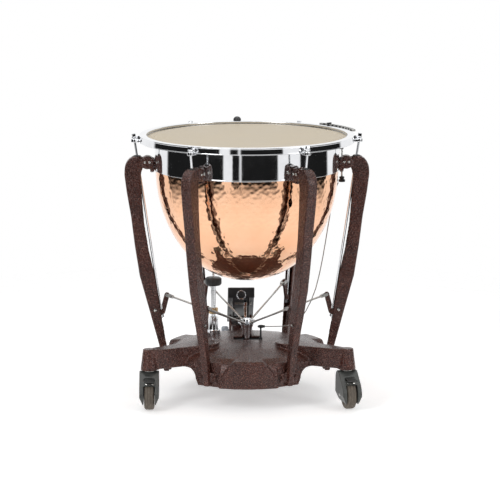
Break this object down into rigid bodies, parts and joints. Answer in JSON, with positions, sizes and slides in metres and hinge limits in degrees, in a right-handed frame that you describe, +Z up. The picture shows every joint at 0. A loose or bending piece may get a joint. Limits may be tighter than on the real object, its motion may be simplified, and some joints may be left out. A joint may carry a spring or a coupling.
{
  "type": "timpani drum",
  "caption": "Pedal timpani: hammered copper bowl in cast struts on a wheeled base, with a spider tuning linkage, pedal and tuning gauge.",
  "frame": {"origin": "on the floor, at the middle of the whole drum in plan", "axes": "+Z up, +Y to the pedal where the player stands, -Y to the audience, +X to the audience-side right"},
  "size_m": [0.78, 0.8557, 0.857],
  "materials": {
    "paint": "dark red-brown hammertone enamel on cast metal, semi-gloss",
    "copper": "hand-hammered polished copper, lacquered",
    "chrome": "polished chrome plate",
    "steel": "zinc-plated and turned steel, satin",
    "film": "frosted beige drumhead film",
    "black": "black moulded plastic and rubber",
    "tread": "brown-grey wheel tread, worn",
    "grey": "light grey-blue moulded plastic"
  },
  "bodies": {
    "frame": {"base_casting": "paint", "strut_1": "paint", "strut_2": "paint", "strut_3": "paint", "strut_4": "paint", "strut_5": "paint", "strut_6": "paint", "bowl": "copper", "support_band": "chrome", "drumhead": "film", "column_guide": "black", "lever_pin": "steel", "pedal_axle": "steel", "spring_tube": "chrome", "spring_rod": "chrome", "gauge_rod": "steel", "gauge_cable": "steel", "cable_stop": "black"},
    "hoop": {"counterhoop": "chrome", "flesh_hoop": "steel", "gauge_scale": "steel"},
    "hub": {"spider_hub": "chrome"},
    "lever": {"lever": "steel"},
    "pedal": {"pedal": "black", "toe_pin": "steel"},
    "drawbar": {"pedal_link": "chrome"},
    "spring_knob": {"spring_knob": "black"},
    "friction_knob": {"friction_knob": "grey"},
    "gauge_pointer": {"gauge_pointer": "black"},
    "gauge_knob": {"gauge_knob": "black"},
    "fine_tuner": {"fine_tuner_knob": "black"},
    "crank_1": {"bell_crank_1": "paint"},
    "pull_rod_1": {"spider_rod_1": "steel"},
    "rod_1": {"tension_rod_1": "chrome"},
    "crank_2": {"bell_crank_2": "paint"},
    "pull_rod_2": {"spider_rod_2": "steel"},
    "rod_2": {"tension_rod_2": "chrome"},
    "crank_3": {"bell_crank_3": "paint"},
    "pull_rod_3": {"spider_rod_3": "steel"},
    "rod_3": {"tension_rod_3": "chrome"},
    "crank_4": {"bell_crank_4": "paint"},
    "pull_rod_4": {"spider_rod_4": "steel"},
    "rod_4": {"tension_rod_4": "chrome"},
    "crank_5": {"bell_crank_5": "paint"},
    "pull_rod_5": {"spider_rod_5": "steel"},
    "rod_5": {"tension_rod_5": "chrome"},
    "crank_6": {"bell_crank_6": "paint"},
    "pull_rod_6": {"spider_rod_6": "steel"},
    "rod_6": {"tension_rod_6": "chrome"},
    "swivel_front_left": {"caster_hood_front_left": "black", "caster_axle_front_left": "steel"},
    "wheel_front_left": {"caster_wheel_front_left": "tread"},
    "swivel_front_right": {"caster_hood_front_right": "black", "caster_axle_front_right": "steel"},
    "wheel_front_right": {"caster_wheel_front_right": "tread"},
    "swivel_rear": {"caster_hood_rear": "black", "caster_axle_rear": "steel"},
    "wheel_rear": {"caster_wheel_rear": "tread"},
    "brake_front_left": {"caster_brake_front_left": "black"},
    "brake_front_right": {"caster_brake_front_right": "black"}
  },
  "joints": [
    {"name": "pedal_pivot", "type": "hinge", "parent": "frame", "child": "pedal", "pos_m": [-0.0135, 0.3135, 0.168], "axis": [1, 0, 0], "range_deg": [0, 16]},
    {"name": "lever_pivot", "type": "hinge", "parent": "frame", "child": "lever", "pos_m": [0, -0.2515, 0.144], "axis": [1, 0, 0], "range_deg": [-6.2, 0.3]},
    {"name": "drawbar_pivot", "type": "hinge", "parent": "pedal", "child": "drawbar", "pos_m": [0, 0.2015, 0.24], "axis": [1, 0, 0], "range_deg": [-8.7, 0.3]},
    {"name": "hub_slide", "type": "slide", "parent": "frame", "child": "hub", "axis": [0, 0, -1], "range_m": [0, 0.0175]},
    {"name": "hoop_slide", "type": "slide", "parent": "frame", "child": "hoop", "axis": [0, 0, -1], "range_m": [0, 0.0022]},
    {"name": "crank_1_pivot", "type": "hinge", "parent": "frame", "child": "crank_1", "pos_m": [0.1475, -0.33698, 0.277], "axis": [-0.866, -0.5, 0], "range_deg": [-0.3, 6.8]},
    {"name": "crank_2_pivot", "type": "hinge", "parent": "frame", "child": "crank_2", "pos_m": [0.295, -0.0815, 0.277], "axis": [0, -1, 0], "range_deg": [-0.3, 6.8]},
    {"name": "crank_3_pivot", "type": "hinge", "parent": "frame", "child": "crank_3", "pos_m": [0.1475, 0.17398, 0.277], "axis": [0.866, -0.5, 0], "range_deg": [-0.3, 6.8]},
    {"name": "crank_4_pivot", "type": "hinge", "parent": "frame", "child": "crank_4", "pos_m": [-0.1475, 0.17398, 0.277], "axis": [0.866, 0.5, 0], "range_deg": [-0.3, 6.8]},
    {"name": "crank_5_pivot", "type": "hinge", "parent": "frame", "child": "crank_5", "pos_m": [-0.295, -0.0815, 0.277], "axis": [0, 1, 0], "range_deg": [-0.3, 6.8]},
    {"name": "crank_6_pivot", "type": "hinge", "parent": "frame", "child": "crank_6", "pos_m": [-0.1475, -0.33698, 0.277], "axis": [-0.866, 0.5, 0], "range_deg": [-0.3, 6.8]},
    {"name": "pull_rod_1_pivot", "type": "hinge", "parent": "hub", "child": "pull_rod_1", "pos_m": [0.012, -0.10229, 0.236], "axis": [-0.866, -0.5, 0], "range_deg": [-0.3, 3.4]},
    {"name": "pull_rod_2_pivot", "type": "hinge", "parent": "hub", "child": "pull_rod_2", "pos_m": [0.024, -0.0815, 0.236], "axis": [0, -1, 0], "range_deg": [-0.3, 3.4]},
    {"name": "pull_rod_3_pivot", "type": "hinge", "parent": "hub", "child": "pull_rod_3", "pos_m": [0.012, -0.06071, 0.236], "axis": [0.866, -0.5, 0], "range_deg": [-0.3, 3.4]},
    {"name": "pull_rod_4_pivot", "type": "hinge", "parent": "hub", "child": "pull_rod_4", "pos_m": [-0.012, -0.06071, 0.236], "axis": [0.866, 0.5, 0], "range_deg": [-0.3, 3.4]},
    {"name": "pull_rod_5_pivot", "type": "hinge", "parent": "hub", "child": "pull_rod_5", "pos_m": [-0.024, -0.0815, 0.236], "axis": [0, 1, 0], "range_deg": [-0.3, 3.4]},
    {"name": "pull_rod_6_pivot", "type": "hinge", "parent": "hub", "child": "pull_rod_6", "pos_m": [-0.012, -0.10229, 0.236], "axis": [-0.866, 0.5, 0], "range_deg": [-0.3, 3.4]},
    {"name": "tension_rod_1_turn", "type": "hinge", "parent": "hoop", "child": "rod_1", "pos_m": [0.179, -0.39154, 0.832], "axis": [0.0724, -0.1255, 0.9894], "continuous": true},
    {"name": "tension_rod_2_turn", "type": "hinge", "parent": "hoop", "child": "rod_2", "pos_m": [0.358, -0.0815, 0.832], "axis": [0.1449, 0, 0.9894], "continuous": true},
    {"name": "tension_rod_3_turn", "type": "hinge", "parent": "hoop", "child": "rod_3", "pos_m": [0.179, 0.22854, 0.832], "axis": [0.0724, 0.1255, 0.9894], "continuous": true},
    {"name": "tension_rod_4_turn", "type": "hinge", "parent": "hoop", "child": "rod_4", "pos_m": [-0.179, 0.22854, 0.832], "axis": [-0.0724, 0.1255, 0.9894], "continuous": true},
    {"name": "tension_rod_5_turn", "type": "hinge", "parent": "hoop", "child": "rod_5", "pos_m": [-0.358, -0.0815, 0.832], "axis": [-0.1449, 0, 0.9894], "continuous": true},
    {"name": "tension_rod_6_turn", "type": "hinge", "parent": "hoop", "child": "rod_6", "pos_m": [-0.179, -0.39154, 0.832], "axis": [-0.0724, -0.1255, 0.9894], "continuous": true},
    {"name": "caster_swivel_front_left", "type": "hinge", "parent": "frame", "child": "swivel_front_left", "pos_m": [-0.312, -0.2765, 0.1195], "axis": [0, 0, 1], "continuous": true},
    {"name": "caster_roll_front_left", "type": "hinge", "parent": "swivel_front_left", "child": "wheel_front_left", "pos_m": [-0.312, -0.2985, 0.046], "axis": [-1, 0, 0], "continuous": true},
    {"name": "caster_swivel_front_right", "type": "hinge", "parent": "frame", "child": "swivel_front_right", "pos_m": [0.312, -0.2765, 0.1195], "axis": [0, 0, 1], "continuous": true},
    {"name": "caster_roll_front_right", "type": "hinge", "parent": "swivel_front_right", "child": "wheel_front_right", "pos_m": [0.31657, -0.29802, 0.046], "axis": [-0.9781, -0.2079, 0], "continuous": true},
    {"name": "caster_swivel_rear", "type": "hinge", "parent": "frame", "child": "swivel_rear", "pos_m": [-0.0135, 0.2735, 0.1195], "axis": [0, 0, 1], "continuous": true},
    {"name": "caster_roll_rear", "type": "hinge", "parent": "swivel_rear", "child": "wheel_rear", "pos_m": [-0.0135, 0.2955, 0.046], "axis": [1, 0, 0], "continuous": true},
    {"name": "brake_front_left_press", "type": "hinge", "parent": "swivel_front_left", "child": "brake_front_left", "pos_m": [-0.312, -0.3105, 0.099], "axis": [-1, 0, 0], "range_deg": [-9, 0]},
    {"name": "brake_front_right_press", "type": "hinge", "parent": "swivel_front_right", "child": "brake_front_right", "pos_m": [0.31907, -0.30976, 0.099], "axis": [-0.9781, -0.2079, 0], "range_deg": [-9, 0]},
    {"name": "spring_knob_turn", "type": "hinge", "parent": "frame", "child": "spring_knob", "pos_m": [-0.107, 0.0185, 0.35], "axis": [0, 0, 1], "continuous": true},
    {"name": "friction_knob_turn", "type": "hinge", "parent": "frame", "child": "friction_knob", "pos_m": [-0.0455, 0.2185, 0.1375], "axis": [1, 0, 0], "continuous": true},
    {"name": "gauge_pointer_swing", "type": "hinge", "parent": "hoop", "child": "gauge_pointer", "pos_m": [0, -0.0815, 0.85], "axis": [0, 0, 1], "range_deg": [-22.5, 0.5]},
    {"name": "gauge_knob_turn", "type": "hinge", "parent": "frame", "child": "gauge_knob", "pos_m": [0.3055, -0.03857, 0.69], "axis": [0, 0, 1], "continuous": true},
    {"name": "fine_tuner_turn", "type": "hinge", "parent": "hoop", "child": "fine_tuner", "pos_m": [-0.02487, 0.27413, 0.843], "axis": [0, 0, 1], "continuous": true}
  ],
  "couplings": [
    {"joint": "lever_pivot", "follows": "pedal_pivot", "ratio": -0.35831},
    {"joint": "drawbar_pivot", "follows": "pedal_pivot", "ratio": -0.51294},
    {"joint": "hub_slide", "follows": "pedal_pivot", "m_per_rad": 0.060816},
    {"joint": "hoop_slide", "follows": "pedal_pivot", "m_per_rad": 0.007506},
    {"joint": "crank_1_pivot", "follows": "pedal_pivot", "ratio": 0.40175},
    {"joint": "crank_2_pivot", "follows": "pedal_pivot", "ratio": 0.40175},
    {"joint": "crank_3_pivot", "follows": "pedal_pivot", "ratio": 0.40175},
    {"joint": "crank_4_pivot", "follows": "pedal_pivot", "ratio": 0.40175},
    {"joint": "crank_5_pivot", "follows": "pedal_pivot", "ratio": 0.40175},
    {"joint": "crank_6_pivot", "follows": "pedal_pivot", "ratio": 0.40175},
    {"joint": "pull_rod_1_pivot", "follows": "pedal_pivot", "ratio": 0.19306},
    {"joint": "pull_rod_2_pivot", "follows": "pedal_pivot", "ratio": 0.19306},
    {"joint": "pull_rod_3_pivot", "follows": "pedal_pivot", "ratio": 0.19306},
    {"joint": "pull_rod_4_pivot", "follows": "pedal_pivot", "ratio": 0.19306},
    {"joint": "pull_rod_5_pivot", "follows": "pedal_pivot", "ratio": 0.19306},
    {"joint": "pull_rod_6_pivot", "follows": "pedal_pivot", "ratio": 0.19306},
    {"joint": "gauge_pointer_swing", "follows": "pedal_pivot", "ratio": -1.375}
  ]
}
